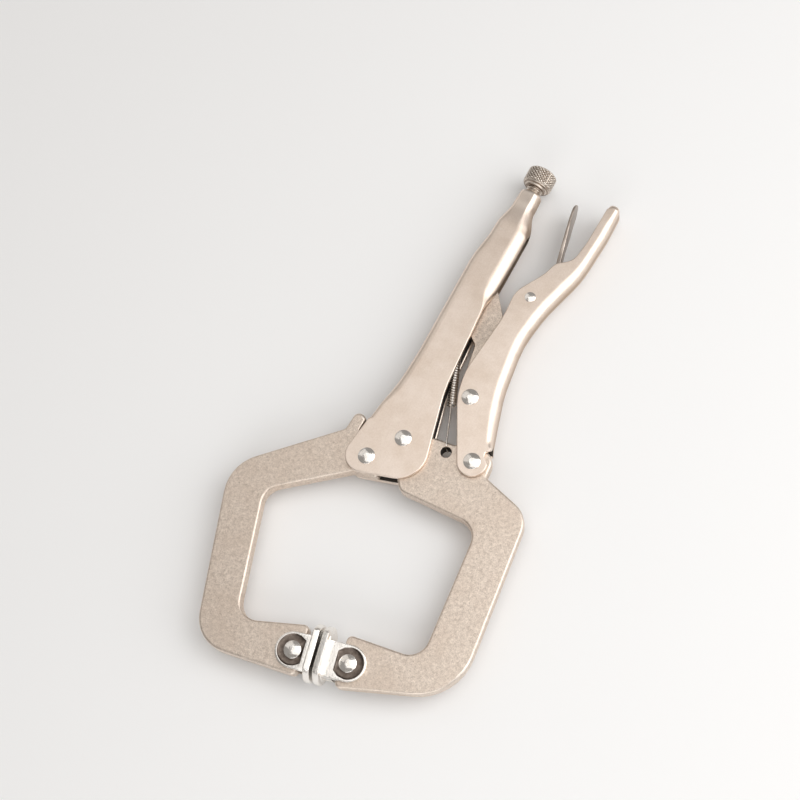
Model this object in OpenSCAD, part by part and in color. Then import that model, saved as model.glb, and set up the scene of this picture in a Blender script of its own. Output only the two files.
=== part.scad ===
// Eleven-inch locking C-clamp pliers with swivel pads, closed and locked.
// The origin is the middle of the gap between the two pads. +Y runs along the adjusting
// screw towards its knob, +Z runs along the rivets, and the middle plane of the plates is z = 0.

/* [Overall] */
// Height of the main pivot above the pads
jaw_reach = 106; // [90:0.5:130]
// Length from the main pivot to the tube end that takes the screw
grip_len = 141; // [118:0.5:170]
// Distance from the clamping point to the inner side of the fixed jaw's arm
fixed_bow = 62; // [52:0.5:75]
// Distance from the clamping point to the inner side of the moving jaw's arm
moving_bow = 39; // [33:0.5:47]
// Tilt of the clamping direction from the X axis, in degrees
clamp_tilt = 13.5; // [8:0.5:18]

/* [Plates] */
// Thickness of the two jaw plates
jaw_t = 7; // [5.8:0.1:8.4]
// Width of the jaw arms
arm_w = 19; // [16:0.5:23]
// Thickness of the sheet that the handle and the lever are pressed from
sheet_t = 2.2; // [1.8:0.1:2.7]
// Thickness of the link's blade
blade_t = 3.7; // [3:0.1:4.4]
// Thickness of the release lever's sheet
release_t = 2.4; // [2:0.1:2.9]

/* [Rivets] */
// Shank diameter of the four large rivets and the pad rivets
rivet_d = 5; // [4.2:0.1:6]
// Head diameter of the large rivets
head_d = 8; // [7.4:0.1:10.4]
// Height of a large rivet's domed head
head_h = 1.4; // [1.1:0.1:1.7]
// Shank diameter of the release lever's rivet
small_d = 3; // [2.5:0.1:3.6]
// Head diameter of the release lever's rivet
small_head_d = 5.2; // [4.4:0.1:6.2]

/* [Adjusting screw] */
// Thread diameter
screw_d = 8; // [6.8:0.1:8.6]
// Knob diameter
knob_d = 15; // [12.6:0.1:18]
// Knob length
knob_len = 9.8; // [8:0.1:12]
// Thread left showing between the tube and the knob
neck_len = 3.6; // [3:0.1:4.4]
// Length of thread inside the handle
screw_in = 33; // [27.5:0.5:34]

/* [Pads] */
// Diameter of the pad discs
pad_d = 26.5; // [23:0.5:31]
// Distance across the two flats of a disc
pad_flats = 20; // [17:0.5:21]
// Thickness of a disc
disc_t = 3.3; // [2.7:0.1:4]
// Distance from the fixed pad's rivet to its clamping face
fixed_pad_len = 10.9; // [10:0.1:13]
// Distance from the moving pad's rivet to its clamping face
moving_pad_len = 13.9; // [11.6:0.1:16.6]
// Gap left between the two clamping faces when locked
pad_gap = 1.1; // [0.9:0.1:1.4]
// Radius of the round ends of the pads' ears
ear_r = 8.3; // [7:0.1:10]
// Thickness of an ear
ear_t = 1.8; // [1.5:0.1:2.1]

/* [Spring] */
// Outer diameter of the coils
coil_d = 4.6; // [3.5:0.1:5]
// Diameter of the spring's wire
wire_d = 1; // [0.8:0.1:1.2]
// Diameter of the hole in the moving jaw that takes the spring's hook
hook_hole_d = 5.2; // [4.4:0.1:6.2]

/* [Fits] */
// Radial clearance of a part that turns on a rivet, or slides in the tube
pivot_play = 0.06; // [0.02:0.01:0.1]
// Clearance on each side of a plate that turns between two cheeks
side_play = 0.25; // [0.2:0.05:0.4]
// Clearance on each side of the link's blade in the handle's slit
slit_play = 0.3; // [0.25:0.05:0.4]
// Clearance between the link's end and the screw's tip, which lets the link swing
tip_play = 5; // [4.8:0.1:6]

/* [Hidden] */
$fn = 48;
eps = 0.01;

steel = [0.76, 0.71, 0.65];
bright = [0.88, 0.86, 0.83];
dark = [0.35, 0.34, 0.33];

// Across the tool: half gaps, half widths and the cut that opens a slot past a part's faces
gap_t = jaw_t + 2 * side_play;
cheek_t = gap_t + 2 * sheet_t;
slit_t = blade_t + 2 * slit_play;
clear_cut = 60;

// Places of the pivots. The screw's axis is parallel to Y.
screw_x = -20.3;
tube_end = jaw_reach + grip_len;

// Lengths along the handles are for a grip of 141, and grow and shrink with it
grip = grip_len / 141;
main_pivot = [-14.5, jaw_reach];
jaw_rivet = main_pivot + [-11.3, -15.1];
lever_pivot = main_pivot + [34, 4];
link_pivot = main_pivot + [18.5, 31.5];
link_end_r = 5;
screw_tip = tube_end - screw_in;
link_tip = [screw_x, screw_tip - tip_play - link_end_r];
release_pivot = [6, tube_end - 52 * grip];
hook_hole = main_pivot + [20.5, 3.3];
spring_anchor = main_pivot + [-2, 57 * grip];

// Directions of the clamping line: u from the fixed pad to the moving pad, v along the faces
u = [cos(clamp_tilt), sin(clamp_tilt)];
v = [sin(clamp_tilt), -cos(clamp_tilt)];
fixed_pad_pivot = -(pad_gap / 2 + fixed_pad_len) * u;
moving_pad_pivot = (pad_gap / 2 + moving_pad_len) * u;
jaw_end = 4;
pad_rise = 1.4;

// Arc from angle a to angle b about c, in steps of about 10 degrees
function arc(c, r, a, b) =
    let (n = max(1, ceil(abs(b - a) / 10)))
    [for (i = [0 : n]) c + r * [cos(a + (b - a) * i / n), sin(a + (b - a) * i / n)]];

function unit(w) = w / norm(w);
function xy(p) = [p.x, p.y];

// The arc that rounds corner p between its neighbours a and b by the radius p.z
function corner(a, p, b) =
    len(p) == 2 || p.z == 0 ? [xy(p)] :
    let (to_a = unit(xy(a) - xy(p)),
         to_b = unit(xy(b) - xy(p)),
         half = acos(to_a * to_b) / 2,
         c = xy(p) + unit(to_a + to_b) * p.z / sin(half),
         from = xy(p) + to_a * p.z / tan(half) - c,
         to = xy(p) + to_b * p.z / tan(half) - c,
         start = atan2(from.y, from.x),
         turn = atan2(from.x * to.y - from.y * to.x, from * to))
    arc(c, p.z, start, start + turn);

// An outline whose corners [x, y, radius] are rounded. Points [x, y] stay as they are.
function rounded(p) =
    [for (i = [0 : len(p) - 1]) each corner(p[(i + len(p) - 1) % len(p)], p[i], p[(i + 1) % len(p)])];

// A point with a corner radius, measured from a place
function at(place, dx, dy, r = 0) = [place.x + dx, place.y + dy, r];

// A plate of thickness t lying on the middle plane
module plate(outline, t) {
    linear_extrude(t, center = true)
        polygon(outline);
}

// A bore or a shank along Z, through the whole tool
module through(place, d, length = clear_cut) {
    translate([place.x, place.y, 0])
        cylinder(d = d, h = length, center = true);
}

// A rivet: a shank of diameter d across span, with a domed head on each side
module rivet(place, d, head, height, span) {
    dome = (head * head / 4 + height * height) / (2 * height);
    through(place, d, span);
    for (side = [-1, 1])
        translate([place.x, place.y, side * span / 2])
            intersection() {
                translate([0, 0, side * (height - dome)])
                    sphere(r = dome, $fn = 96);
                translate([0, 0, side * height / 2])
                    cylinder(d = head, h = height, center = true);
            }
}

// ---- Fixed handle: a pressed channel whose tail is drawn into a tube ----
spine_top = tube_end - 17;
lip_low = tube_end - 62 * grip;
slit_low = lip_low - 1;
slit_top = tube_end - 22;
tube_d = 11.4;
tube_root_d = 12;
tube_len = 8;

// The spine's outer side, from the end of the tube down to the fixed jaw
function handle_spine(inset) = [
    [screw_x - 8 + inset, spine_top, 0],
    at([screw_x, tube_end], -8.4 + inset, -29 * grip, 20),
    at([screw_x, tube_end], -10.6 + inset, -43 * grip, 30),
    at(main_pivot, -15.8 + inset, 44 * grip, 60),
    at(main_pivot, -16.4 + inset, 28 * grip, 60)];

handle_outline = rounded(concat(handle_spine(0), [
    at(jaw_rivet, -12, -11.6, 8.5),
    at(main_pivot, 17.5, -15.4, 13.6),
    at(main_pivot, 6.1, 30 * grip, 40),
    at([screw_x, tube_end], 8.4, -65 * grip, 25),
    at([screw_x, tube_end], 9.8, -55 * grip, 12),
    [screw_x + 9.8, spine_top, 0]]));

// The channel: open towards the lever up to the lips, closed beyond them
handle_pocket = rounded(concat(handle_spine(sheet_t), [
    at(main_pivot, -19 + sheet_t, 5, 0),
    at(main_pivot, -40, 5, 0),
    at(main_pivot, -40, -60, 0),
    at(main_pivot, 60, -60, 0),
    [60, lip_low, 0],
    [screw_x + 9.8 - sheet_t - 1, lip_low, 0],
    at([screw_x, tube_end], 9.8 - sheet_t, -55 * grip, 6),
    [screw_x + 9.8 - sheet_t, spine_top, 0]]));

module handle_tail(inset) {
    hull() {
        translate([screw_x - 8 + inset, spine_top - 1, -cheek_t / 2 + inset])
            cube([17.8 - 2 * inset, 1 + eps, cheek_t - 2 * inset]);
        translate([screw_x, tube_end - tube_len, 0])
            rotate([90, 0, 0])
                cylinder(d = tube_root_d - 2 * inset, h = 1, $fn = 32);
    }
}

// A lanced tab inside the spine, with the hole that the spring's far hook holds
module spring_tab() {
    difference() {
        hull() {
            through(spring_anchor, 5, sheet_t);
            through([screw_x - 9, spring_anchor.y + 4], 4, sheet_t);
        }
        through(spring_anchor, wire_d * 2, clear_cut);
    }
}

module fixed_handle() color(steel) {
    difference() {
        union() {
            plate(handle_outline, cheek_t);
            handle_tail(0);
            translate([screw_x, tube_end - tube_len - 1, 0])
                rotate([-90, 0, 0])
                    cylinder(d1 = tube_root_d, d2 = tube_d, h = tube_len + 1);
        }
        plate(handle_pocket, gap_t);
        handle_tail(sheet_t);
        translate([screw_x, slit_low, -slit_t / 2])
            cube([clear_cut, slit_top - slit_low, slit_t]);
        translate([screw_x, tube_end + eps, 0])
            rotate([90, 0, 0])
                cylinder(d = screw_d + 2 * pivot_play, h = screw_in + tip_play / 4);
        through(main_pivot, rivet_d);
        through(jaw_rivet, rivet_d);
    }
    spring_tab();
}

// ---- Fixed jaw: a flat C plate whose hooked end locks over the spine's end ----
hub_r = 9.6;
hub_gap = 0.5;
fixed_arm = -fixed_bow;
fixed_end = fixed_pad_pivot + jaw_end * u;

fixed_jaw_outline = rounded(concat([
        at(main_pivot, -2.8, -21.6, 1.5),
        at(main_pivot, -14, -23.6, 6),
        at([fixed_arm, jaw_reach], 0, -49.6, 9),
        [fixed_arm + 20, -2.3, 9],
        [(fixed_end - 12.8 * v).x, (fixed_end - 12.8 * v).y, 2.5],
        [(fixed_end + 10.6 * v).x, (fixed_end + 10.6 * v).y, 2.5],
        [fixed_arm + 20 - arm_w * 0.65, -2.3 - arm_w * 0.95, 17],
        at([fixed_arm - arm_w * 1.15, jaw_reach], 0, -46.8, 20),
        at(main_pivot, -27.9, -7, 3),
        at(main_pivot, -27.4, 2.8, 2.9),
        at(main_pivot, -21.3, 2.8, 2.8),
        at(main_pivot, -21.3, -5, 0.8),
        at(main_pivot, -16.6, -5, 0.8),
        at(main_pivot, -16.6, 7, 1),
        at(main_pivot, -9.2, 7, 0)],
    arc(main_pivot, hub_r + hub_gap, 145, 254)));

module fixed_jaw() color(steel)
    difference() {
        plate(fixed_jaw_outline, jaw_t);
        through(jaw_rivet, rivet_d);
        through(fixed_pad_pivot, rivet_d + 2 * pivot_play);
    }

// ---- Moving jaw: a flat C plate that turns on the main pivot ----
moving_end = moving_pad_pivot - jaw_end * u;

moving_jaw_outline = rounded(concat(
    arc(main_pivot, hub_r, 60, 265), [
        at(main_pivot, 10, -22.6, 5),
        [moving_bow - 3.5, jaw_reach - 22, 9],
        [moving_bow + 2.4, 19.8, 9],
        [(moving_end - 12.8 * v).x, (moving_end - 12.8 * v).y, 2.5],
        [(moving_end + 11.4 * v).x, (moving_end + 11.4 * v).y, 2.5],
        [moving_bow + arm_w * 1.28, 12.1, 26],
        [moving_bow + arm_w * 0.78, jaw_reach - 7, 12],
        at(lever_pivot, 8.8, -3.4, 2),
        at(lever_pivot, 8, 8.3, 7),
        at(lever_pivot, -6.5, 8.1, 6),
        at(hook_hole, 2, 4.9, 4),
        at(hook_hole, -9, 3.9, 3),
        at(main_pivot, 6.5, 9, 2)]));

module moving_jaw() color(steel)
    difference() {
        plate(moving_jaw_outline, jaw_t);
        through(main_pivot, rivet_d + 2 * pivot_play);
        through(lever_pivot, rivet_d + 2 * pivot_play);
        through(hook_hole, hook_hole_d);
        through(moving_pad_pivot, rivet_d + 2 * pivot_play);
    }

// ---- Lever: a pressed channel, open towards the handle, with a curved tail ----
lever_top = tube_end + 9.4;
lever_end_r = 7.2;

// The spine's outer side, from the notch under it up to the tail
function lever_spine(inset) = [
    at(main_pivot, 39.4 - inset, 12.6, 0),
    at(main_pivot, 31 - inset, 41 * grip, 40),
    at(main_pivot, 27.6 - inset, 67 * grip, 50),
    at([0, tube_end], 15.6 - inset, -56 * grip, 45),
    at([0, tube_end], 22.6 - inset, -32 * grip, 50),
    at([0, tube_end], 24.4 - inset, -6, 40)];

lever_outline = rounded(concat(lever_spine(0), [
    [23.9, lever_top, 2.8],
    [18.3, lever_top, 2.2],
    at([0, tube_end], 17.4, -15 * grip, 30),
    at([0, tube_end], 15.8, -26 * grip, 8),
    at([0, tube_end], 8.8, -31 * grip, 4),
    at([0, tube_end], 6.6, -38 * grip, 20),
    at([0, tube_end], -2, -52 * grip, 14),
    at([0, tube_end], -1, -66 * grip, 30),
    at(main_pivot, 10.1, 29.5 + 12.5 * grip, 30 * grip),
    at(main_pivot, 12.5, 29.5, 30 * grip)],
    arc(lever_pivot, lever_end_r, 218, 372),
    [at(lever_pivot, 4, 4.6, 1.2),
     at(lever_pivot, 3.4, 6.6, 1.5)]));

lever_pocket = rounded(concat(lever_spine(sheet_t), [
    [24.4 - sheet_t - 0.9, lever_top - sheet_t, 1],
    [-60, lever_top - sheet_t, 0],
    at(main_pivot, -60, -40, 0),
    at(main_pivot, 90, -40, 0),
    at(main_pivot, 90, 12.6, 0)]));

module lever_handle() color(steel)
    difference() {
        plate(lever_outline, cheek_t);
        plate(lever_pocket, gap_t);
        through(lever_pivot, rivet_d);
        through(link_pivot, rivet_d);
        through(release_pivot, small_d);
    }

// ---- Link: a thick hub between the lever's cheeks, and a thin blade through the slit ----
link_len = link_tip.y - link_pivot.y;
blade_low = link_tip.y - 0.391 * link_len;

link_outline = rounded(concat(arc(link_pivot, 6.4, 188, 354), [
    at(link_pivot, 7, 0.21 * link_len, 30),
    at(link_tip, 19.6, -0.361 * link_len, 5),
    at(link_tip, 10.2, -0.174 * link_len, 12),
    at(link_tip, link_end_r, -0.12 * link_len, 6),
    at(link_tip, link_end_r, link_end_r, link_end_r - 0.05),
    at(link_tip, -link_end_r, link_end_r, link_end_r - 0.05),
    at(link_tip, -link_end_r, -0.21 * link_len, 20),
    at(link_tip, 5.4, -0.532 * link_len, 2.4),
    at(link_pivot, -11.1, 0.3835 * link_len, 3.6)]));

module toggle_link() color(steel)
    difference() {
        intersection() {
            plate(link_outline, jaw_t);
            union() {
                translate([-clear_cut, -clear_cut, -clear_cut / 2])
                    cube([2 * clear_cut, clear_cut + blade_low, clear_cut]);
                translate([-clear_cut, -clear_cut, -blade_t / 2])
                    cube([2 * clear_cut, tube_end + clear_cut, blade_t]);
            }
        }
        through(link_pivot, rivet_d + 2 * pivot_play);
    }

// ---- Release lever: bent sheet inside the lever, with a leaf-shaped tail between the handles ----
release_w = gap_t - 2 * side_play;
leaf_w = release_w + 4.6;
release_tip = [2.8, tube_end + 4];

// The sheet's middle line, from the nose by the link to the tail's tip
release_line = [
    at(release_pivot, -1.2, -14 * grip, 0),
    at(release_pivot, 3.2, -4, 8),
    at(release_pivot, 4.2, 8, 12),
    at([0, tube_end], 9.6, -31 * grip, 12),
    at([0, tube_end], 7.4, -21 * grip, 40),
    at([0, tube_end], 4.6, -7, 40),
    at(release_tip, 0, 0, 0)];

// How far the side of a strip lies from its middle line at point i, mitred at the bends
function miter(line, i) =
    let (from = max(i, 1),
         to = min(i + 1, len(line) - 1),
         a = unit(xy(line[from]) - xy(line[from - 1])),
         b = unit(xy(line[to]) - xy(line[to - 1])),
         s = unit(a + b))
    [-s.y, s.x, 0] / (s * a);

// The outline of a strip of thickness t along a middle line
function strip(line, t) = concat(
    [for (i = [0 : len(line) - 1]) line[i] + miter(line, i) * t / 2],
    [for (i = [len(line) - 1 : -1 : 0]) line[i] - miter(line, i) * t / 2]);

module release_lever() color(steel)
    difference() {
        union() {
            intersection() {
                plate(rounded(strip(release_line, release_t)), release_w);
                rotate([90, 0, 90])
                    linear_extrude(clear_cut, center = true)
                        polygon(rounded([
                            [release_pivot.y - 30, -release_w / 2, 0],
                            [tube_end - 22 * grip, -release_w / 2, 12],
                            [tube_end - 11 * grip, -leaf_w / 2, 12],
                            [release_tip.y + 0.4, 1.4 - leaf_w / 2, 3.8],
                            [release_tip.y + 0.4, leaf_w / 2 - 1.4, 3.8],
                            [tube_end - 11 * grip, leaf_w / 2, 12],
                            [tube_end - 22 * grip, release_w / 2, 12],
                            [release_pivot.y - 30, release_w / 2, 0]]));
            }
            for (side = [-1, 1])
                translate([0, 0, side * (release_w - sheet_t) / 2])
                    plate(rounded([
                        at(release_pivot, -3.6, -3.6, 3.4),
                        at(release_pivot, 3.6, -5.4, 1),
                        at(release_pivot, 5, 8, 1),
                        at(release_pivot, -3.6, 3.6, 3.4)]), sheet_t);
        }
        through(release_pivot, small_d + 2 * pivot_play);
    }

// ---- Adjusting screw: thread and knob in one piece ----
knob_low = tube_end + neck_len;

module adjusting_screw() color(bright)
    translate([screw_x, 0, 0])
        rotate([-90, 0, 0]) {
            translate([0, 0, screw_tip])
                cylinder(d1 = screw_d - 2, d2 = screw_d, h = 1);
            translate([0, 0, screw_tip + 1])
                cylinder(d = screw_d, h = knob_low - screw_tip);
            translate([0, 0, knob_low])
                cylinder(d1 = knob_d - 1.6, d2 = knob_d, h = 0.8);
            translate([0, 0, knob_low + 0.8])
                cylinder(d = knob_d, h = knob_len - 1.6);
            translate([0, 0, knob_low + knob_len - 0.8])
                cylinder(d1 = knob_d, d2 = knob_d - 1.6, h = 0.8);
        }

// ---- Tension spring: a close coil between a long hook in the jaw and one in the tab ----
spring_run = spring_anchor - hook_hole;
spring_dir = unit(spring_run);
coil_low = hook_hole + 23.5 * spring_dir;
coil_high = spring_anchor - 6 * spring_dir;
hook_in = hook_hole + (hook_hole_d / 2 - wire_d / 2 - 0.15) * spring_dir;
hook_rise = jaw_t / 2 + 1.5 * wire_d;
tab_rise = sheet_t / 2 + wire_d / 2 + 0.1;

function lift(p, z) = [p.x, p.y, z];

// A round bar between two points in space
module bar(a, b, d) {
    run = b - a;
    translate(a)
        rotate([0, acos(run.z / norm(run)), atan2(run.y, run.x)])
            cylinder(d = d, h = norm(run));
}

module tension_spring() color(dark)
    difference() {
        union() {
            bar(lift(hook_in, -2), lift(hook_in, hook_rise + wire_d / 2), wire_d);
            bar(lift(hook_in, hook_rise), lift(coil_low + wire_d / 2 * spring_dir, 0), wire_d);
            bar(lift(coil_low, 0), lift(coil_high, 0), coil_d);
            bar(lift(coil_high - wire_d / 2 * spring_dir, tab_rise), lift(spring_anchor, tab_rise), wire_d);
            bar(lift(spring_anchor, tab_rise + wire_d / 2), lift(spring_anchor, -tab_rise), wire_d);
        }
        bar(lift(coil_low + wire_d * spring_dir, 0),
            lift(coil_high - wire_d * spring_dir, 0), coil_d - 2 * wire_d);
    }

// ---- Swivel pads: a disc with two flats, and two ears that straddle the jaw's tip ----
ear_gap = jaw_t + 2 * side_play;
ear_span = ear_gap + 2 * ear_t;
neck_start = 6.3;

// A pad whose rivet is at the local origin and whose face looks along local +X
module swivel_pad(length) {
    disc_x = length - disc_t;
    difference() {
        union() {
            intersection() {
                translate([disc_x, pad_rise, 0])
                    rotate([0, 90, 0]) {
                        cylinder(d = pad_d, h = disc_t - 0.7, $fn = 96);
                        translate([0, 0, disc_t - 0.7])
                            cylinder(d1 = pad_d, d2 = pad_d - 1.4, h = 0.7, $fn = 96);
                    }
                translate([disc_x - 1, -clear_cut / 2, -pad_flats / 2])
                    cube([disc_t + 2, clear_cut, pad_flats]);
            }
            cylinder(r = ear_r, h = ear_span, center = true);
            translate([0, -ear_r, -ear_span / 2])
                cube([disc_x + eps, 2 * ear_r, ear_span]);
        }
        translate([-clear_cut / 2, 0, 0])
            cube([clear_cut + 2 * neck_start, clear_cut, ear_gap], center = true);
        cylinder(d = rivet_d, h = clear_cut, center = true);
    }
}

module fixed_pad() color(bright)
    translate([fixed_pad_pivot.x, fixed_pad_pivot.y, 0])
        rotate(clamp_tilt)
            swivel_pad(fixed_pad_len);

module moving_pad() color(bright)
    translate([moving_pad_pivot.x, moving_pad_pivot.y, 0])
        rotate(clamp_tilt + 180)
            mirror([0, 1, 0])
                swivel_pad(moving_pad_len);

// ---- Rivets ----
module fixed_jaw_rivet() color(bright) rivet(jaw_rivet, rivet_d, head_d, head_h, cheek_t);
module jaw_pivot_rivet() color(bright) rivet(main_pivot, rivet_d, head_d, head_h, cheek_t);
module lever_jaw_rivet() color(bright) rivet(lever_pivot, rivet_d, head_d, head_h, cheek_t);
module link_rivet() color(bright) rivet(link_pivot, rivet_d, head_d, head_h, cheek_t);
module release_lever_rivet() color(bright)
    rivet(release_pivot, small_d, small_head_d, head_h / 2, cheek_t);
module fixed_pad_rivet() color(bright)
    rivet(fixed_pad_pivot, rivet_d, head_d, head_h, ear_span);
module moving_pad_rivet() color(bright)
    rivet(moving_pad_pivot, rivet_d, head_d, head_h, ear_span);

fixed_handle();
fixed_jaw();
fixed_jaw_rivet();
jaw_pivot_rivet();
moving_jaw();
lever_handle();
lever_jaw_rivet();
link_rivet();
toggle_link();
release_lever();
release_lever_rivet();
adjusting_screw();
tension_spring();
fixed_pad();
fixed_pad_rivet();
moving_pad();
moving_pad_rivet();
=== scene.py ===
import bpy
import bmesh
import math
import numpy as np
from mathutils import Matrix, Vector


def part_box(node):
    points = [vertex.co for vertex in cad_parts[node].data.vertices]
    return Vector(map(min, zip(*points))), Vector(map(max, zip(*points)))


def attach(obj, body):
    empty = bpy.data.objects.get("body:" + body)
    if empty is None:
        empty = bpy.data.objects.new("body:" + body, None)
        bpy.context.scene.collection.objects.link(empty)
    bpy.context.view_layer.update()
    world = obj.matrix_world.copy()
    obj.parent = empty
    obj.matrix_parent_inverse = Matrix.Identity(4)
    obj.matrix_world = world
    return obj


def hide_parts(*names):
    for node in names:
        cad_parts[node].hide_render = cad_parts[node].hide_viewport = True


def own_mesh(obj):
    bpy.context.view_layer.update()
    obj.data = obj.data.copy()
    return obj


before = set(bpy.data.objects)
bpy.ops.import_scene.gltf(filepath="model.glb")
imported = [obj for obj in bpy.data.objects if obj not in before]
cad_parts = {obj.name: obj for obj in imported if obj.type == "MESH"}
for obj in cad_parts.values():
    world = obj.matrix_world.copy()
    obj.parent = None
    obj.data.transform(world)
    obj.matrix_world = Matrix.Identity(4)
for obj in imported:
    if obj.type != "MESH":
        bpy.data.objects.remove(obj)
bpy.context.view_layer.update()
MM = 0.001

# ---- Jaws ----
# Two flat C plates cut from 7 mm steel plate. Their rims are tumbled round, and the plates are
# bead blasted and then plated with nickel, so the grain of the blasting shows through. The hole in
# the moving one, which takes the spring's hook, is painted dark inside as shade.


def face_loops(node, *heights):
    """The rims of a CAD node's flat faces at some heights, in mm: outer first, material on the left."""
    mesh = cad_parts[node].data
    place = [tuple(round(c * 1000, 4) for c in vertex.co) for vertex in mesh.vertices]
    edges = set()
    for face in mesh.polygons:
        corners = [place[i][:2] for i in face.vertices]
        level = {round(place[i][2], 2) for i in face.vertices}
        if face.normal.z > 0.99 and level <= set(heights):
            edges.update(zip(corners, corners[1:] + corners[:1]))
    after = {a: b for a, b in edges if (b, a) not in edges}
    loops = []
    while after:
        start, point = after.popitem()
        loop = [start]
        while point != start:
            loop.append(point)
            point = after.pop(point)
        loops.append(np.array(loop))
    return sorted(loops, key=lambda loop: -np.ptp(loop[:, 1]))


def inward(loop):
    """The mitred normals of a rim, pointing into the material."""
    before = loop - np.roll(loop, 1, 0)
    ahead = np.roll(loop, -1, 0) - loop
    before /= np.linalg.norm(before, axis=1)[:, None]
    ahead /= np.linalg.norm(ahead, axis=1)[:, None]
    normal = np.stack([-before[:, 1] - ahead[:, 1], before[:, 0] + ahead[:, 0]], 1)
    normal /= np.linalg.norm(normal, axis=1)[:, None]
    lean = np.sum(normal * np.stack([-ahead[:, 1], ahead[:, 0]], 1), 1)
    return normal / np.maximum(lean, 0.6)[:, None]


def finer(loop, step):
    """A rim with points added on its long straight stretches."""
    points = []
    for a, b in zip(loop, np.roll(loop, -1, 0)):
        n = max(1, int(np.linalg.norm(b - a) / step))
        points += [a + (b - a) * i / n for i in range(n)]
    return np.array(points)


def round_rim(radius, half):
    """The section of a plate's rim, from its face down to the middle plane: (inset, height) in mm."""
    turn = np.radians(np.linspace(90, 0, 7))
    arc = [(radius - radius * math.cos(a), half - radius + radius * math.sin(a)) for a in turn]
    return np.array(arc + [(0, 0)])


def add_plate(bm, loops, section_of, ends=(), inner_from=99):
    """Adds a plate lying on the middle plane: its rims swept with their sections, its faces filled.
    section_of(point) gives a rim's section there. ends are heights y at which the plate is cut open.
    Faces from section point inner_from on take the second finish."""
    for side in (1, -1):
        caps, undersides = [], []
        for loop in loops:
            normal = inward(loop)
            cut = [any(abs(p[1] - y) < 1e-3 for y in ends) for p in loop]
            rings = []
            for p, n, at_cut in zip(loop, normal, cut):
                n = np.array([math.copysign(1, n[0]), 0]) if at_cut else n
                rings.append([bm.verts.new(Vector((*(p + n * inset), side * z)) * MM)
                              for inset, z in section_of(p)])
            for i, ring in enumerate(rings):
                other = rings[(i + 1) % len(rings)]
                open_end = cut[i] and cut[(i + 1) % len(rings)]
                for j in range(len(ring) - 1):
                    quad = [ring[j], ring[j + 1], other[j + 1], other[j]]
                    flat = all(abs(v.co.z) < 1e-7 for v in quad)
                    if not flat and not open_end:
                        face = bm.faces.new(quad if side > 0 else quad[::-1])
                        face.material_index = int(j >= inner_from)
            caps.append([ring[0] for ring in rings])
            undersides.append([ring[-1] for ring in rings])
        for rims in (caps, undersides):
            if all(abs(v.co.z) < 1e-7 for v in rims[0]):
                continue
            edges = [bm.edges.get((a, b)) or bm.edges.new((a, b))
                     for rim in rims for a, b in zip(rim, rim[1:] + rim[:1])]
            filled = bmesh.ops.triangle_fill(bm, edges=edges, use_beauty=True)
            up = side if rims is caps else -side
            for face in (f for f in filled["geom"] if isinstance(f, bmesh.types.BMFace)):
                face.normal_update()
                face.material_index = int(rims is undersides)
                if face.normal.z * up < 0:
                    face.normal_flip()


def finished(name, bm, finishes, body, slot, *nodes, weld=0.004):
    """The piece made from bm, shaded round, with its finishes, on its body, in place of its CAD nodes."""
    bmesh.ops.remove_doubles(bm, verts=bm.verts, dist=weld * MM)
    bmesh.ops.recalc_face_normals(bm, faces=bm.faces)
    mesh = bpy.data.meshes.new(name)
    bm.to_mesh(mesh)
    bm.free()
    mesh.shade_smooth()
    mesh.set_sharp_from_angle(angle=math.radians(38))
    piece = bpy.data.objects.new(name, mesh)
    bpy.context.scene.collection.objects.link(piece)
    piece.modifiers.new("even_normals", "WEIGHTED_NORMAL").keep_sharp = True
    for finish in finishes:
        mesh.materials.append(finish)
    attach(piece, body)
    if nodes:
        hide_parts(*nodes)
    return piece


class Flow:
    """A value, colour or vector that flows through a finish's nodes. Python operators add Math nodes."""

    def __init__(self, finish, socket):
        self.finish, self.socket = finish, socket

    def math(self, operation, *values):
        values = dict(enumerate(values or (self,)))
        return self.finish.node("ShaderNodeMath", {"operation": operation}, values)

    def __add__(self, other):
        return self.math("ADD", self, other)

    def __radd__(self, other):
        return self.math("ADD", other, self)

    def __sub__(self, other):
        return self.math("SUBTRACT", self, other)

    def __rsub__(self, other):
        return self.math("SUBTRACT", other, self)

    def __mul__(self, other):
        return self.math("MULTIPLY", self, other)

    def __rmul__(self, other):
        return self.math("MULTIPLY", other, self)

    def over(self, low, high):
        """0 below low, 1 above high."""
        return self.finish.node("ShaderNodeMapRange", {"clamp": True}, {0: self, 1: low, 2: high})

    def pick(self, low, high):
        """The colour low where this is 0, and high where it is 1."""
        return self.finish.node("ShaderNodeMix", {"data_type": "RGBA"}, {0: self, 6: low, 7: high}, 2)


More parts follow.
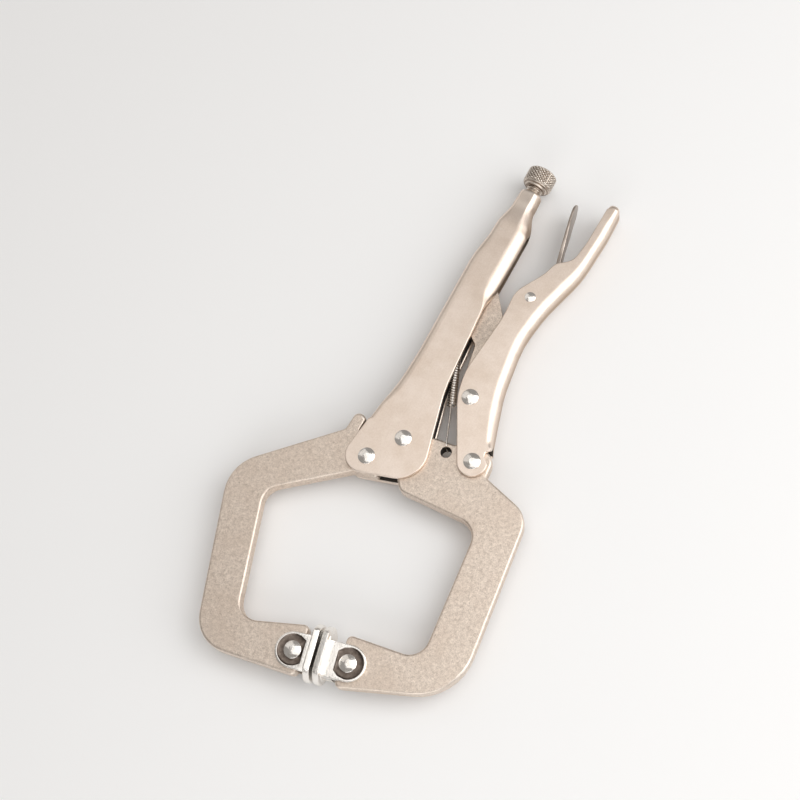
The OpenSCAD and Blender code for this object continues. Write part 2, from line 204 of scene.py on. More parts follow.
class Finish:
    """One surface finish being made: node() adds a node, with its settings first and then its inputs."""

    def __init__(self, name):
        self.material = bpy.data.materials.new(name)
        self.material.use_nodes = True
        self.nodes = self.material.node_tree.nodes
        self.shader = self.nodes["Principled BSDF"]
        place = self.node("ShaderNodeTexCoord", {}, {}, 3)
        self.place = self.node("ShaderNodeVectorMath", {"operation": "SCALE"}, {0: place, 3: 1000.0})

    def node(self, kind, settings, inputs, output=0):
        made = self.nodes.new(kind)
        for key, value in settings.items():
            setattr(made, key, value)
        for key, value in inputs.items():
            self.feed(made.inputs[key], value)
        return Flow(self, made.outputs[output])

    def feed(self, socket, value):
        if isinstance(value, Flow):
            self.material.node_tree.links.new(value.socket, socket)
        else:
            socket.default_value = value

    def noise(self, per_mm, detail=2.0, roughness=0.5, stretch=None):
        place = self.place
        if stretch:
            place = self.node("ShaderNodeVectorMath", {"operation": "MULTIPLY"}, {0: place, 1: stretch})
        return self.node("ShaderNodeTexNoise", {}, {"Vector": place, "Scale": per_mm,
                                                    "Detail": detail, "Roughness": roughness})

    def rim_highlight(self, low, high):
        """1 on sharp outer rims, 0 on flat faces and in hollows. The finishes use it to paint highlights on
        rims, and the knurl also to paint shade in its roots.
        """
        return self.node("ShaderNodeNewGeometry", {}, {}, 7).over(low, high)

    def height(self):
        """The distance from the tool's middle plane, in mm."""
        return self.node("ShaderNodeSeparateXYZ", {}, {0: self.place}, 2).math("ABSOLUTE")

    def done(self, colour, roughness, height=None, depth=0.02, metallic=1.0):
        self.feed(self.shader.inputs["Base Color"], colour)
        self.feed(self.shader.inputs["Roughness"], roughness)
        self.feed(self.shader.inputs["Metallic"], metallic)
        if height is not None:
            bump = self.node("ShaderNodeBump", {}, {"Height": height, "Distance": depth * MM,
                                                    "Strength": 1.0})
            self.feed(self.shader.inputs["Normal"], bump)
        return self.material


def blasted_nickel(name):
    """Nickel over a bead-blasted surface: a mottled grain, soft stains, dark pits, and a painted highlight
    on the rims.
    """
    f = Finish(name)
    grain = f.noise(1.9, 3.0, 0.7)
    mottle = f.noise(0.55, 5.0, 0.72)
    stain = f.noise(0.05, 3.0, 0.55)
    pits = f.node("ShaderNodeTexVoronoi", {}, {"Vector": f.place, "Scale": 0.5})
    pit = (1.0 - pits.over(0.05, 0.20)) * f.noise(0.21, 2.0).over(0.45, 0.6)
    rim_highlight = f.rim_highlight(0.505, 0.55)
    tone = (mottle * 0.5 + grain * 0.5).over(0.36, 0.64)
    colour = tone.pick((0.50, 0.408, 0.338, 1), (0.95, 0.83, 0.72, 1))
    colour = (stain.over(0.40, 0.65) * 0.35).pick(colour, (0.66, 0.53, 0.43, 1))
    colour = (pit * 0.6).pick(colour, (0.34, 0.27, 0.22, 1))
    # Painted highlight: the colour goes towards white on the sharp rims.
    colour = (rim_highlight * 0.6).pick(colour, (0.95, 0.88, 0.80, 1))
    rough = 0.38 + mottle * 0.12 - rim_highlight * 0.14
    return f.done(colour, rough, grain * 0.7 + mottle * 0.9 - pit * 0.9, 0.06)


def painted_inner_shade(name):
    """Painted shade for the inside of a pressing or a hole: a near-black colour with a faint cloud,
    standing in for the shade there.
    """
    f = Finish(name)
    cloud = f.noise(0.25, 4.0, 0.6)
    colour = cloud.over(0.3, 0.7).pick((0.045, 0.040, 0.036, 1), (0.115, 0.10, 0.088, 1))
    return f.done(colour, 0.55 + cloud * 0.15, f.noise(1.5, 3.0), 0.03, metallic=0.6)


JAW_HALF = 3.5
OUTER_ROUNDING, HOLE_ROUNDING = 1.15, 0.3
HOOK_HOLE = (6.0, 109.3)
HOOK_HOLE_RADIUS = 2.6
dark_inside = painted_inner_shade("painted_inner_shade")
jaw_nickel = blasted_nickel("blasted_nickel")
for node, body in (("fixed_jaw", "handle"), ("moving_jaw", "moving_jaw")):
    bm = bmesh.new()
    loops = [finer(loop, 3.0) for loop in face_loops(node, JAW_HALF)]
    rims = {tuple(p): round_rim(OUTER_ROUNDING if loop is loops[0] else HOLE_ROUNDING, JAW_HALF)
            for loop in loops for p in loop}
    add_plate(bm, loops, lambda p: rims[tuple(p)])
    # Faces in the hook hole take dark_inside: painted shade.
    for face in bm.faces:
        from_hole = (face.calc_center_median() / MM - Vector((*HOOK_HOLE, 0))).to_2d().length
        face.material_index = int(from_hole < HOOK_HOLE_RADIUS + 0.02)
    finished(node + "_plate", bm, [jaw_nickel, dark_inside], body, "blasted_nickel", node)


# ---- Fixed handle ----
# One pressing of 2.2 mm sheet: two cheeks and a rounded spine, with the cheeks curled in to lips
# near the knob and the tail drawn into a round tube for the screw. Nickel plated, satin.

SHEET = 2.2
HALF = 5.95
INNER_FACES = 13  # the first point on the inside of the sheet, in both sections below


def smooth(low, high, value):
    t = min(1.0, max(0.0, (value - low) / (high - low)))
    return t * t * (3 - 2 * t)


def cut_rim(edge=0.5):
    """The section of a cheek where the sheet ends: a plain edge, broken by tumbling."""
    turn = np.radians(np.linspace(90, 0, 9))
    top = [(edge - edge * math.cos(a), HALF - edge + edge * math.sin(a)) for a in turn]
    low = HALF - SHEET
    end = [(0, low + edge * 1.6), (0, low + edge), (edge * 0.3, low + edge * 0.3), (edge, low)]
    inner = [(edge + 0.1 * i, low) for i in range(1, 11)]
    return np.array(top + end + inner)


def bent_rim(radius, slit=0.0):
    """The section where the sheet bends over: a spine, or with a slit the lip of a curled cheek."""
    centre = HALF - radius
    lip = math.asin(max(-1.0, (slit - centre) / radius)) if slit else 0.0
    tight = radius - SHEET
    inner_lip = math.asin(min(0.98, max(-0.98, (slit - centre) / tight))) if slit else 0.0
    reach = radius * math.cos(lip)
    outer = [(reach - radius * math.cos(a), centre + radius * math.sin(a))
             for a in np.linspace(math.pi / 2, lip, 9)]
    inner = [(reach - tight * math.cos(a), centre + tight * math.sin(a))
             for a in np.linspace(inner_lip, math.pi / 2, 9)]
    if slit:
        a, b = np.array(outer[-1]), np.array(inner[0])
        ends = [a + (b - a) * t for t in (0.1, 0.2, 0.8, 0.9, 0.95)]
    else:
        ends = [(0, centre * 0.5), (0, 0), (SHEET / 2, 0), (SHEET, 0), (SHEET, centre * 0.5)]
    return np.array(outer + [tuple(e) for e in ends] + inner)


def clipped(loop, y):
    """The part of a rim below y, closed by a straight cut there."""
    points = []
    for a, b in zip(loop, np.roll(loop, -1, 0)):
        if a[1] < y:
            points.append(a)
        if (a[1] < y) != (b[1] < y):
            points.append(a + (b - a) * (y - a[1]) / (b[1] - a[1]))
    return np.array(points)


def across(loop, y):
    """The lowest and highest x at which a rim crosses height y."""
    xs = [a[0] + (b[0] - a[0]) * (y - a[1]) / (b[1] - a[1])
          for a, b in zip(loop, np.roll(loop, -1, 0)) if (a[1] < y) != (b[1] < y)]
    return min(xs), max(xs)


handle_rim = face_loops("fixed_handle", HALF)[0]
handle_cut = 222.0
tube_end = 247.0
tube_radius, bore_radius = 5.95, 4.08
screw_x = -20.3
jaw_pivot_y = 106.0
spine_radius = 4.6
curl_radius = 7.5
slit_half = 2.15


def handle_section(p):
    left, right = across(handle_rim, min(max(p[1], 95.0), 228.0))
    plain = cut_rim()
    if p[0] < (left + right) / 2:
        weight = smooth(jaw_pivot_y + 1.2, jaw_pivot_y + 3.2, p[1])
        radius = 0.9 + (spine_radius - 0.9) * smooth(jaw_pivot_y + 2, jaw_pivot_y + 24, p[1])
        return plain + (bent_rim(max(radius, SHEET + 0.15)) - plain) * weight
    weight = smooth(178.0, 188.0, p[1])
    radius = SHEET + 0.2 + (curl_radius - SHEET - 0.2) * smooth(178.0, 196.0, p[1])
    return plain + (bent_rim(radius, slit_half) - plain) * weight


bm = bmesh.new()
rim = finer(clipped(finer(handle_rim, 1.4), handle_cut), 1.6)
# The inside of the sheet, from section point INNER_FACES on, and the inner faces of the cheeks take
# dark_inside: painted shade.
add_plate(bm, [rim], handle_section, ends=(handle_cut,), inner_from=INNER_FACES)

# The tail, from the cut on: its section goes over from the pressing's to a ring.
rings = []
heights = [handle_cut, 223, 224] + [224.6 + 0.6 * i for i in range(31)]
for y in heights + [243.6, 244.8, 245.8, 246.5, 246.9, tube_end]:
    left, right = across(handle_rim, min(y, 228.9))
    slit = 0.06 + (slit_half - 0.06) * (1 - smooth(223.0, 227.5, y))
    lip, spine = bent_rim(curl_radius, slit), bent_rim(spine_radius)
    outer = [(right - o, z) for o, z in lip[8::-1]] + [(left + o, z) for o, z in spine[:11]]
    inner = [(right - o, z) for o, z in lip[14:]] + [(left + o, z) for o, z in spine[:11:-1]]
    drawn = smooth(225.5, 238.5, y)
    tube = tube_radius - 0.25 * smooth(239.0, 246.0, y) - 0.35 * smooth(246.2, tube_end, y) ** 2
    pairs = []
    for points, radius in ((outer, tube), (inner, bore_radius)):
        path = []
        for x, z in points:
            angle = math.atan2(z, x - screw_x)
            round_x, round_z = screw_x + radius * math.cos(angle), radius * math.sin(angle)
            path.append((x + (round_x - x) * drawn, z + (round_z - z) * drawn))
        pairs.append(path)
    outer, inner = pairs
    whole = (outer + [(x, -z) for x, z in outer[-2::-1]]
             + [(x, -z) for x, z in inner] + inner[-2::-1])
    rings.append([bm.verts.new(Vector((x, y, z)) * MM) for x, z in whole])
# The inner half of each ring, the tube's bore, takes dark_inside: painted shade.
for ring, other in zip(rings, rings[1:]):
    for i in range(len(ring)):
        j = (i + 1) % len(ring)
        bm.faces.new([ring[i], ring[j], other[j], other[i]]).material_index = int(i >= len(ring) // 2)
last = rings[-1]
half = len(last) // 2
for i in range(half - 1):
    bm.faces.new([last[i], last[i + 1], last[-2 - i], last[-1 - i]])


def satin_nickel(name, seed, bend_edge_shade=0.8):
    """Smooth nickel over polished sheet: soft waves, faint drawing lines, a few scratches and stains.
    Rims get a painted highlight, and the bends turn dark brown towards the middle plane: painted shade for
    a dark reflection."""
    f = Finish(name)
    wave = f.noise(0.13, 2.0, 0.45, (1.0 + seed * 0.07, 1.0, 1.0))
    drawn_lines = f.noise(1.0, 3.0, 0.6, (3.2, 0.10, 3.2))
    fine = f.noise(1.6, 4.0, 0.65)
    stain = f.noise(0.07, 4.0, 0.6, (1.0, 1.0 + seed * 0.1, 1.0))
    scratches = f.noise(0.55, 2.0, 0.5, (1.0, 7.0, 1.0)).over(0.665, 0.70)
    rim_highlight = f.rim_highlight(0.51, 0.57)
    tone = (stain * 0.6 + fine * 0.4).over(0.38, 0.62)
    colour = tone.pick((0.80, 0.67, 0.565, 1), (0.93, 0.81, 0.715, 1))
    colour = (drawn_lines.over(0.35, 0.75) * 0.2).pick(colour, (0.70, 0.57, 0.47, 1))
    # Painted highlight on the rims.
    colour = (rim_highlight * 0.6).pick(colour, (0.97, 0.91, 0.84, 1))
    # Painted shade: dark brown on the bends near the middle plane, standing for a dark reflection.
    bend = 1.0 - f.height().over(0.4, 4.2)
    colour = (bend * bend_edge_shade).pick(colour, (0.34, 0.22, 0.13, 1))
    rough = 0.29 + stain * 0.08 + fine * 0.06 + scratches * 0.10 - rim_highlight * 0.06
    height = wave * 1.4 + drawn_lines * 0.22 + fine * 0.16 - scratches * 0.25
    return f.done(colour, rough, height, 0.03)


handle_nickel = satin_nickel("satin_nickel", 1)
finished("fixed_handle_pressing", bm, [handle_nickel, dark_inside], "handle", "satin_nickel",
         "fixed_handle", weld=0.02)

# ---- Lever ----
# The moving handle: another pressing of the same sheet, open towards the fixed handle. Its spine
# bends over with a wide radius, and its tail narrows to a closed, finger-shaped tip.

lever_rim = face_loops("lever_handle", HALF)[0]
lever_top = 256.4


def lever_section(p):
    left, right = across(lever_rim, min(max(p[1], 108.0), lever_top - 1.2))
    plain = cut_rim()
    radius = 4.8 - 1.3 * smooth(205, 226, p[1]) - 1.1 * smooth(243, 253, p[1])
    on_spine = smooth(0.45, 0.55, (p[0] - left) / (right - left))
    weight = smooth(118.9, 121.0, p[1]) * on_spine
    weight = max(weight, smooth(lever_top - 3.4, lever_top - 2.2, p[1]))
    radius = max(SHEET + 0.15, radius * smooth(96, 136, p[1]))
    return plain + (bent_rim(radius) - plain) * weight


bm = bmesh.new()
# The inside of the sheet takes dark_inside: painted shade.
add_plate(bm, [finer(lever_rim, 1.5)], lever_section, inner_from=INNER_FACES)
bmesh.ops.recalc_face_normals(bm, faces=bm.faces)
# The web at the notch by the jaw's rivet is painted dark as shade too.
for face in bm.faces:
    if 118.5 < face.calc_center_median().y / MM < 121.3 and face.normal.y < -0.3:
        face.material_index = 1
lever_nickel = satin_nickel("satin_nickel_lever", 4)
finished("lever_pressing", bm, [lever_nickel, dark_inside], "lever", "satin_nickel",
         "lever_handle", weld=0.02)

# ---- Link ----
# A forged strut between the lever and the screw's tip: a thick hub between the lever's cheeks thins
# to a blade that runs through the slit of the fixed handle. Blasted and plated like the jaws.

hub_half, blade_half = 3.5, 1.85
hub_end, blade_start = 156.0, 180.0
bm = bmesh.new()
rim = round_rim(0.6, hub_half)
loops = face_loops("toggle_link", hub_half, blade_half)
add_plate(bm, [finer(loop, 3.0) for loop in loops], lambda p: rim)
for step in range(13):
    bmesh.ops.bisect_plane(bm, geom=bm.verts[:] + bm.edges[:] + bm.faces[:], plane_no=(0, 1, 0),
                           plane_co=(0, (hub_end + 2 * step) * MM, 0))
for vertex in bm.verts:
    vertex.co.z *= 1 + (blade_half / hub_half - 1) * smooth(hub_end, blade_start, vertex.co.y / MM)
finished("toggle_link_strut", bm, [jaw_nickel], "link", "blasted_nickel", "toggle_link")

# ---- Release lever ----
# A strip of sheet that turns on a rivet inside the lever, between two ears. Its tail comes out
# between the handles, widens to a leaf for the finger, and is dished a little. Nickel plated.


def rounded_bar(width, thick, edge, dish=0.0, n=5):
    """A closed section (across, height) of a strip, with round edges, bowed by dish at its middle."""
    points = []
    for sx, sz, start in ((1, 1, 0), (-1, 1, 90), (-1, -1, 180), (1, -1, 270)):
        cx, cz = sx * (thick / 2 - edge), sz * (width / 2 - edge)
        for i in range(n):
            a = math.radians(start + 90 * i / (n - 1))
            x, z = cx + edge * math.cos(a), cz + edge * math.sin(a)
            points.append((x - dish * (1 - (2 * z / max(width, 0.1)) ** 2), z))
    return points


def add_loft(bm, rings):
    """Joins closed rings of points, in mm, and fills the first and last."""
    made = [[bm.verts.new(Vector(p) * MM) for p in ring] for ring in rings]
    for ring, other in zip(made, made[1:]):
        for i in range(len(ring)):
            j = (i + 1) % len(ring)
            bm.faces.new([ring[i], ring[j], other[j], other[i]])
    bm.faces.new(made[0][::-1])
    bm.faces.new(made[-1])


def curve_through(points, n):
    """n places along a smooth curve through points, and the unit directions there."""
    points = [np.array(p, float) for p in points]
    padded = [2 * points[0] - points[1]] + points + [2 * points[-1] - points[-2]]
    places = []
    for i in range(len(points) - 1):
        a, b, c, d = padded[i:i + 4]
        steps = n // (len(points) - 1)
        for k in range(steps + (i == len(points) - 2)):
            t = k / steps
            places.append(0.5 * (2 * b + (c - a) * t + (2 * a - 5 * b + 4 * c - d) * t ** 2
                                 + (3 * b - a - 3 * c + d) * t ** 3))
    places = np.array(places)
    along = np.gradient(places, axis=0)
    return places, along / np.linalg.norm(along, axis=1)[:, None]


release_line = [(4.8, 181.2), (8.0, 188.5), (9.55, 196), (10.1, 203), (9.7, 215.5), (8.6, 221),
                (7.5, 226), (6.1, 233.5), (4.65, 240.3), (3.5, 246.5), (2.95, 250.8)]
places, along = curve_through(release_line, 80)
bm = bmesh.new()
rings = []
for p, d in zip(places, along):
    normal = np.array([d[1], -d[0]])
    end = max(0.0, (p[1] - 245.8) / 5.1)
    width = 6.9 + 4.7 * smooth(223.5, 237.5, p[1]) - 1.4 * max(0.0, (p[1] - 238.0) / 13.0) ** 1.7
    width *= math.sqrt(max(0.05, 1 - min(1.0, end) ** 2))
    thick = 2.3 - 0.9 * smooth(218, 240, p[1]) - 0.5 * smooth(246, 251, p[1])
    dish = 0.55 * smooth(224, 236, p[1]) * (1 - smooth(240, 250.0, p[1]))
    section = rounded_bar(width, thick, min(0.65, thick / 2.2), dish)
    rings.append([(p[0] + normal[0] * x, p[1] + normal[1] * x, z) for x, z in section])
add_loft(bm, rings)
ear = np.array([(9.2, 189.5), (9.6, 203.0), (6.5, 200.0), (3.0, 197.5), (2.4, 195.0), (3.4, 192.2)])
for z in (2.45, -2.45):
    add_loft(bm, [[(x, y, z + dz) for x, y in ear] for dz in (-0.95, 0.95)])


def shade_dimmed_nickel(name):
    """Nickel over rolled strip: its faces painted a darker grey, painted shade for a dark reflection, and
    its edges given a painted highlight.
    """
    f = Finish(name)
    cloud = f.noise(0.2, 4.0, 0.6)
    lines = f.noise(1.2, 3.0, 0.6, (3.0, 0.12, 3.0))
    # Painted shade: the faces are darkened to stand for a dark reflection.
    colour = cloud.over(0.35, 0.65).pick((0.37, 0.315, 0.275, 1), (0.50, 0.435, 0.385, 1))
    # Painted highlight on the edges.
    colour = f.rim_highlight(0.53, 0.58).pick(colour, (0.90, 0.80, 0.71, 1))
    return f.done(colour, 0.26 + lines * 0.10, lines * 0.3 + cloud, 0.02)


release_nickel = shade_dimmed_nickel("shade_dimmed_nickel")
finished("release_lever_strip", bm, [release_nickel], "release_lever", "satin_nickel", "release_lever")

# ---- Rivets ----
# Soft steel rivets, set cold from both sides with a domed tool, which leaves a thin collar under
# the head and a shallow dent on its top. Bright nickel.


def add_turned(bm, profile, centre, axis, n=48):
    """A surface turned about an axis through centre: profile is (radius, height along the axis) in mm."""
    turn = Vector(axis).to_track_quat("Z", "Y").to_matrix()
    rings = []
    for radius, height in profile:
        if radius < 1e-6:
            rings.append([bm.verts.new((Vector(centre) + turn @ Vector((0, 0, height))) * MM)])
            continue
        rings.append([bm.verts.new((Vector(centre) + turn @ Vector(
            (radius * math.cos(2 * math.pi * i / n), radius * math.sin(2 * math.pi * i / n), height))) * MM)
            for i in range(n)])
    for ring, other in zip(rings, rings[1:]):
        for i in range(n):
            j = (i + 1) % n
            quad = [ring[i % len(ring)], ring[j % len(ring)], other[j % len(other)], other[i % len(other)]]
            quad = list(dict.fromkeys(quad))
            if len(quad) > 2:
                bm.faces.new(quad)


def bright_nickel(name, rough_base, depth):
    """Bright nickel: faint cloudiness, fine scratches both ways, and small dents."""
    f = Finish(name)
    cloud = f.noise(0.35, 3.0, 0.5)
    one_way = f.noise(1.3, 2.0, 0.5, (1.0, 9.0, 1.0)).over(0.60, 0.66)
    other_way = f.noise(1.1, 2.0, 0.5, (8.0, 1.0, 1.0)).over(0.62, 0.67)
    dents = f.noise(0.9, 2.0, 0.4)
    rim_highlight = f.rim_highlight(0.51, 0.60)
    colour = cloud.over(0.3, 0.7).pick((0.88, 0.83, 0.77, 1), (0.97, 0.94, 0.90, 1))
    # Painted highlight: the rims are brightened a little.
    colour = (rim_highlight * 0.5).pick(colour, (0.97, 0.95, 0.92, 1))
    rough = rough_base + cloud * 0.08 + one_way * 0.10 + other_way * 0.08
    height = dents - one_way * 0.18 - other_way * 0.15
    return f.done(colour, rough, height, depth)


rivet_nickel = bright_nickel("bright_nickel_rivets", 0.06, 0.03)
LARGE, SMALL = (4.0, 2.5, 1.4), (2.6, 1.5, 0.7)
EAR_OUT = 5.55
rivets = [("fixed_jaw_rivet", "handle", LARGE, HALF),
          ("jaw_pivot_rivet", "handle", LARGE, HALF),
          ("lever_jaw_rivet", "lever", LARGE, HALF),
          ("link_rivet", "lever", LARGE, HALF),
          ("release_lever_rivet", "lever", SMALL, HALF),
          ("fixed_pad_rivet", "fixed_pad", LARGE, EAR_OUT),
          ("moving_pad_rivet", "moving_pad", LARGE, EAR_OUT)]
for node, body, (head, shank, rise), face in rivets:
    low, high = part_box(node)
    x, y = (low.x + high.x) / 2 * 1000, (low.y + high.y) / 2 * 1000
    bm = bmesh.new()
    for side in (1, -1):
        dome = [(head - 0.45, face - 0.02), (head - 0.08, face + 0.12 * rise), (head, face + 0.2 * rise),
                (head * 0.975, face + 0.27 * rise), (head * 0.94, face + 0.30 * rise)]
        for i in range(1, 20):
            r = head * 0.93 * (1 - i / 20)
            dent = 0.07 * rise * (1 - smooth(0.08, 0.46, r / head))
            dome.append((r, face + rise * (0.32 + 0.68 * (1 - (r / head / 0.93) ** 2.0)) - dent))
        dome.append((0, face + rise * 0.93))
        add_turned(bm, [(r, side * h) for r, h in dome], (x, y, 0), (0, 0, 1))
    add_turned(bm, [(shank, -face - 0.1), (shank, face + 0.1)], (x, y, 0), (0, 0, 1))
    finished(node + "_set", bm, [rivet_nickel], body, "bright_nickel", node)

# ---- Swivel pads ----
# Each pad is a forging: a disc with two flats, and a fork of two ears on the jaw's tip. Each ear is
# coined with a dish round its rivet. Bright nickel, scratched and dull in the dishes.

pad_tilt = math.radians(13.5)
EAR_IN, EAR_RADIUS = 3.75, 8.3
DISC_THICK, DISC_RADIUS, DISC_FLAT = 3.3, 13.25, 10.0
pad_nickel = bright_nickel("bright_nickel_pads", 0.17, 0.05)


def dish_nickel(name):
    """The coined dishes: a dark brown-grey colour, and rougher than the rest of the pad."""
    f = Finish(name)
    cloud = f.noise(0.5, 4.0, 0.6)
    fine = f.noise(3.0, 2.0, 0.5)
    colour = cloud.over(0.3, 0.7).pick((0.11, 0.085, 0.07, 1), (0.25, 0.205, 0.175, 1))
    return f.done(colour, 0.26 + cloud * 0.14, fine, 0.02)


pad_dish = dish_nickel("dark_rough_nickel_dishes")


def ear_outline(disc_x):
    """One ear's outline round the rivet at the origin, running into the disc."""
    turn = np.radians(np.linspace(90, 270, 33))
    back = [(EAR_RADIUS * math.cos(a), EAR_RADIUS * math.sin(a)) for a in turn]
    return np.array(back + [(disc_x * 0.4, -EAR_RADIUS), (disc_x + 0.2, -EAR_RADIUS),
                            (disc_x + 0.2, EAR_RADIUS), (disc_x * 0.4, EAR_RADIUS)])


def swivel_pad(name, body, node, rivet, length, turn_by, flip):
    """A pad built round its rivet with its face towards local +X, then turned into place.
    The flipped one also has a raised neck between its ears and its disc."""
    disc_x = length - DISC_THICK
    bm = bmesh.new()
    low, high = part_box(rivet)
    x, y = (low.x + high.x) / 2 * 1000, (low.y + high.y) / 2 * 1000
    outline = ear_outline(disc_x)
    normal = inward(outline)
    circle = np.arctan2(outline[:, 1], outline[:, 0])
    dish = [(7.2, 0.0), (7.0, -0.12), (6.75, -0.50), (6.35, -0.72), (5.4, -0.78), (4.4, -0.76),
            (3.8, -0.62), (3.6, -0.05), (2.6, 0.0)]
    for side in (1, -1):
        rows = []
        for inset, z in ((0.0, EAR_IN), (0.0, EAR_OUT - 0.6), (0.18, EAR_OUT - 0.18), (0.6, EAR_OUT)):
            rows.append([(px, py, side * z) for px, py in outline + normal * inset])
        for radius, drop in dish:
            rows.append([(radius * math.cos(a), radius * math.sin(a), side * (EAR_OUT + drop))
                         for a in circle])
        made = [[bm.verts.new(Vector(p) * MM) for p in row] for row in rows]
        for k, (row, other) in enumerate(zip(made, made[1:])):
            for i in range(len(row)):
                j = (i + 1) % len(row)
                face = bm.faces.new([row[i], row[j], other[j], other[i]][::side])
                face.material_index = 1 if k >= 4 else 0
        bore = [bm.verts.new(Vector((2.5 * math.cos(a), 2.5 * math.sin(a), side * EAR_IN)) * MM)
                for a in circle]
        for i in range(len(bore)):
            j = (i + 1) % len(bore)
            bm.faces.new([bore[i], bore[j], made[0][j], made[0][i]][::side])
    web = [[(px, py, z) for px, py in ((6.3, -8.2), (disc_x + 0.2, -8.2), (disc_x + 0.2, 8.2), (6.3, 8.2))]
           for z in (-3.8, 3.8)]
    add_loft(bm, web)
    steps = [(disc_x - 0.5, 2.4), (disc_x - 0.05, 2.0), (disc_x, 0.9), (disc_x + 0.15, 0.3),
             (disc_x + 0.5, 0.0), (length - 0.9, 0.0), (length - 0.35, 0.35), (length, 0.95)]
    rings = []
    for px, inset in steps:
        radius, limit = DISC_RADIUS - inset, DISC_FLAT - inset
        corner = math.asin(limit / radius)
        arc = np.linspace(-corner, corner, 17)
        ring = [(px, 1.4 + radius * math.cos(a), radius * math.sin(a)) for a in arc]
        ring += [(px, 1.4 - radius * math.cos(a), radius * math.sin(a)) for a in arc[::-1]]
        rings.append(ring)
    add_loft(bm, rings)
    if flip:
        neck = [(disc_x - 1.4, EAR_OUT - 0.3), (disc_x - 1.4, EAR_OUT + 1.6),
                (disc_x - 0.9, EAR_OUT + 2.1), (disc_x - 0.2, EAR_OUT + 2.2),
                (disc_x + 0.4, EAR_OUT + 2.2), (disc_x + 0.4, EAR_OUT - 0.3)]
        for side in (1, -1):
            add_loft(bm, [[(px, py, side * pz) for px, pz in neck] for py in (-7.6, 7.6)])
        bmesh.ops.scale(bm, vec=(1, -1, 1), verts=bm.verts)
        bmesh.ops.reverse_faces(bm, faces=bm.faces)
    bmesh.ops.rotate(bm, verts=bm.verts, cent=(0, 0, 0), matrix=Matrix.Rotation(turn_by, 3, "Z"))
    bmesh.ops.translate(bm, verts=bm.verts, vec=Vector((x, y, 0)) * MM)
    finished(name, bm, [pad_nickel, pad_dish], body, "bright_nickel", node)


swivel_pad("fixed_pad_forging", "fixed_pad", "fixed_pad", "fixed_pad_rivet", 10.9, pad_tilt, False)
swivel_pad("moving_pad_forging", "moving_pad", "moving_pad", "moving_pad_rivet", 13.9,
           pad_tilt + math.pi, True)

# ---- Adjusting screw ----
# Turned from bar: an 8 mm rolled thread and a knob with a diamond knurl between two plain bands.
# The thread and the knurl are painted dark in their roots as shade, and bright on their crests as
# highlight.

knob_low, knob_high = 250.6, 260.4
screw_tip = 214.0


def add_threaded(bm, x, low, high, radius, depth, pitch, n=40, step=0.12):
    """A threaded bar along Y, with a chamfered tip at its low end."""
    rows = []
    count = int((high - low) / step)
    for k in range(count + 1):
        y = low + (high - low) * k / count
        ring = []
        for i in range(n):
            a = 2 * math.pi * i / n
            phase = (y / pitch - i / n) % 1.0
            groove = min(1.0, max(0.0, abs(phase - 0.5) * 2 * 1.35 - 0.15))
            r = radius - depth * groove
            r -= 0.8 * (1 - smooth(low, low + 1.0, y))
            ring.append((x + r * math.cos(a), y, r * math.sin(a)))
        rows.append(ring)
    add_loft(bm, rows)


def add_knurled(bm, x, low, high, radius, depth, teeth, n=252, rows_n=46):
    """A knurled cylinder along Y: two crossing sets of grooves that fade out at both ends."""
    rows = []
    for k in range(rows_n + 1):
        t = k / rows_n
        y = low + (high - low) * t
        fade = min(1.0, 9 * t, 9 * (1 - t))
        ring = []
        for i in range(n):
            a = 2 * math.pi * i / n
            u = (teeth * i / n + y / 1.5) % 1.0
            v = (teeth * i / n - y / 1.5) % 1.0
            groove = max(abs(u - 0.5), abs(v - 0.5)) * 2
            r = radius - depth * groove ** 2 * fade - 0.75 * (1 - fade) ** 2
            ring.append((x + r * math.cos(a), y, r * math.sin(a)))
        rows.append(ring)
    add_loft(bm, rows)


bm = bmesh.new()
add_threaded(bm, screw_x, screw_tip, knob_low + 0.4, radius=3.98, depth=0.62, pitch=1.25)
collar = [(0.0, 0.0), (4.5, 0.0), (5.05, 0.1), (5.2, 0.5), (5.25, 1.0), (5.5, 1.15), (6.2, 1.1),
          (6.5, 1.3), (6.6, 1.8), (6.75, 2.0), (7.1, 2.0)]
add_turned(bm, [(r, knob_low + h) for r, h in collar], (screw_x, 0, 0), (0, 1, 0), 96)
add_knurled(bm, screw_x, knob_low + 1.95, knob_high, radius=7.48, depth=0.6, teeth=24)


def knurled_nickel(name):
    """Nickel over turned steel: painted shade in the roots, and a painted highlight on the crests."""
    f = Finish(name)
    crest = f.rim_highlight(0.45, 0.55)
    cloud = f.noise(0.5, 3.0, 0.5)
    # Painted shade in the roots and painted highlight on the crests.
    colour = crest.pick((0.28, 0.22, 0.18, 1), (0.90, 0.83, 0.75, 1))
    colour = (cloud * 0.3).pick(colour, (0.55, 0.46, 0.38, 1))
    return f.done(colour, 0.36 - crest * 0.16 + cloud * 0.08, f.noise(3.0, 2.0), 0.012)


screw_nickel = knurled_nickel("knurled_nickel")
finished("adjusting_screw_turned", bm, [screw_nickel], "screw", "bright_nickel", "adjusting_screw")

# ---- Tension spring ----
# Close-wound from 1 mm spring wire, with a long hook into the jaw and a short one into the tab
# inside the handle. Pulls the jaw open when the toggle is let go.

hook = np.array(HOOK_HOLE)
anchor = np.array([-16.5, 163.0])
run = (anchor - hook) / np.linalg.norm(anchor - hook)
side_way = np.array([-run[1], run[0]])
coil_low, coil_high = hook + 23.5 * run, anchor - 6 * run
hook_in = hook + 1.95 * run


def spaced(p, z):
    return np.array([p[0], p[1], z])


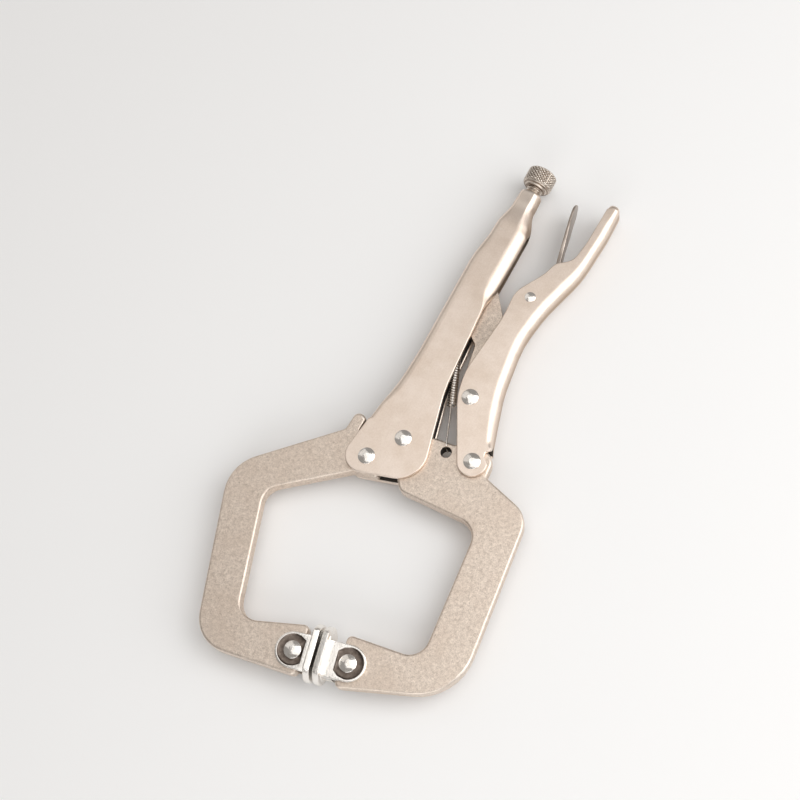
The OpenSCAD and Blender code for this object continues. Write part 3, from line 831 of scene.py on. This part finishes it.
coil_length = np.linalg.norm(coil_high - coil_low)
turns, coil_radius, wire_radius = 22, 1.82, 0.43
path = [spaced(hook_in, -1.9), spaced(hook_in, 1.5), spaced(hook_in + 0.1 * run, 4.2),
        spaced(hook_in + 0.6 * run, 4.85), spaced(hook_in + 1.6 * run, 4.75)]
path += [spaced(hook_in + 1.6 * run + (coil_low - hook_in - 1.6 * run) * t, 4.75 - 3.15 * t)
         for t in (0.2, 0.4, 0.6, 0.8, 0.95)]
for k in range(turns * 18 + 1):
    a = 2 * math.pi * k / 18
    p = coil_low + run * (coil_length - 0.8) * k / (turns * 18) + run * 0.4
    path.append(spaced(p + side_way * coil_radius * math.sin(a), coil_radius * math.cos(a)))
path += [spaced(coil_high + run * 1.5, 1.68), spaced(anchor - run * 1.0, 1.72),
         spaced(anchor - run * 0.3, 1.6), spaced(anchor, 1.0), spaced(anchor, -1.6)]
path = np.array(path)
along = np.gradient(path, axis=0)
along /= np.linalg.norm(along, axis=1)[:, None]
# A ring of points is carried along the path without twisting.
wire_up = np.array([0.31, 0.17, 0.93])
rings = []
for p, d in zip(path, along):
    wire_up = wire_up - d * wire_up.dot(d)
    wire_up /= np.linalg.norm(wire_up)
    other = np.cross(d, wire_up)
    rings.append([tuple(p + wire_radius * (math.cos(a) * wire_up + math.sin(a) * other))
                  for a in np.linspace(0, 2 * math.pi, 11)[:-1]])
bm = bmesh.new()
add_loft(bm, rings)


def spring_wire(name):
    """Plated spring wire, drawn: bright, with a faint cloud of lighter and darker tone."""
    f = Finish(name)
    cloud = f.noise(0.8, 3.0, 0.5)
    colour = cloud.over(0.3, 0.7).pick((0.72, 0.66, 0.60, 1), (0.92, 0.88, 0.83, 1))
    return f.done(colour, 0.14 + cloud * 0.10, f.noise(4.0, 2.0), 0.008)


spring = finished("tension_spring_wire", bm, [spring_wire("spring_wire")], "handle", "spring_steel",
                  "tension_spring")
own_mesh(spring)

# ---- Floor, light and camera ----
# A white paper floor under the tool, which lies on its cheek, five soft boxes round a pale room,
# and a camera that looks down on the tool.

bpy.ops.mesh.primitive_plane_add(size=6, location=(0, 0, -0.0102))
floor = bpy.context.object
floor.name = "floor"
paper = Finish("white_paper")
floor.data.materials.append(paper.done((0.94, 0.94, 0.94, 1), 0.9, metallic=0.0))


def soft_box(name, place, size, power, colour=(1, 1, 1)):
    light = bpy.data.lights.new(name, "AREA")
    light.shape, light.size, light.size_y = "RECTANGLE", size[0], size[1]
    light.energy, light.color = power, colour
    lamp = bpy.data.objects.new(name, light)
    bpy.context.scene.collection.objects.link(lamp)
    lamp.location = place
    lamp.rotation_euler = (Vector((0, 0.12, 0)) - Vector(place)).to_track_quat("-Z", "Y").to_euler()


soft_box("soft_box_above", (0.27, 0.24, 1.3), (1.45, 1.5), 6.4, (1.0, 0.995, 0.985))
soft_box("soft_box_high", (0.55, 0.60, 1.0), (0.8, 0.6), 2.0)
soft_box("soft_box_right", (0.85, 0.38, 0.48), (1.1, 0.8), 4.6)
soft_box("soft_box_front", (0.45, -0.85, 0.5), (1.0, 0.5), 3.2)
soft_box("soft_box_left", (-0.9, 0.45, 0.80), (1.0, 0.9), 1.3, (1.0, 0.97, 0.94))

world = bpy.data.worlds.new("pale_room")
world.use_nodes = True
world.node_tree.nodes["Background"].inputs["Color"].default_value = (1.0, 0.96, 0.92, 1)
world.node_tree.nodes["Background"].inputs["Strength"].default_value = 0.31
bpy.context.scene.world = world
bpy.context.scene.view_settings.view_transform = "Standard"

camera_data = bpy.data.cameras.new("camera")
camera_data.lens, camera_data.sensor_width = 63.0, 36.0
camera_data.clip_start, camera_data.clip_end = 0.01, 20
camera = bpy.data.objects.new("camera", camera_data)
camera.location = (0.1706, -0.0469, 0.6081)
camera.rotation_euler = [math.radians(a) for a in (21.715, 8.453, 28.943)]
bpy.context.scene.collection.objects.link(camera)
bpy.context.scene.camera = camera
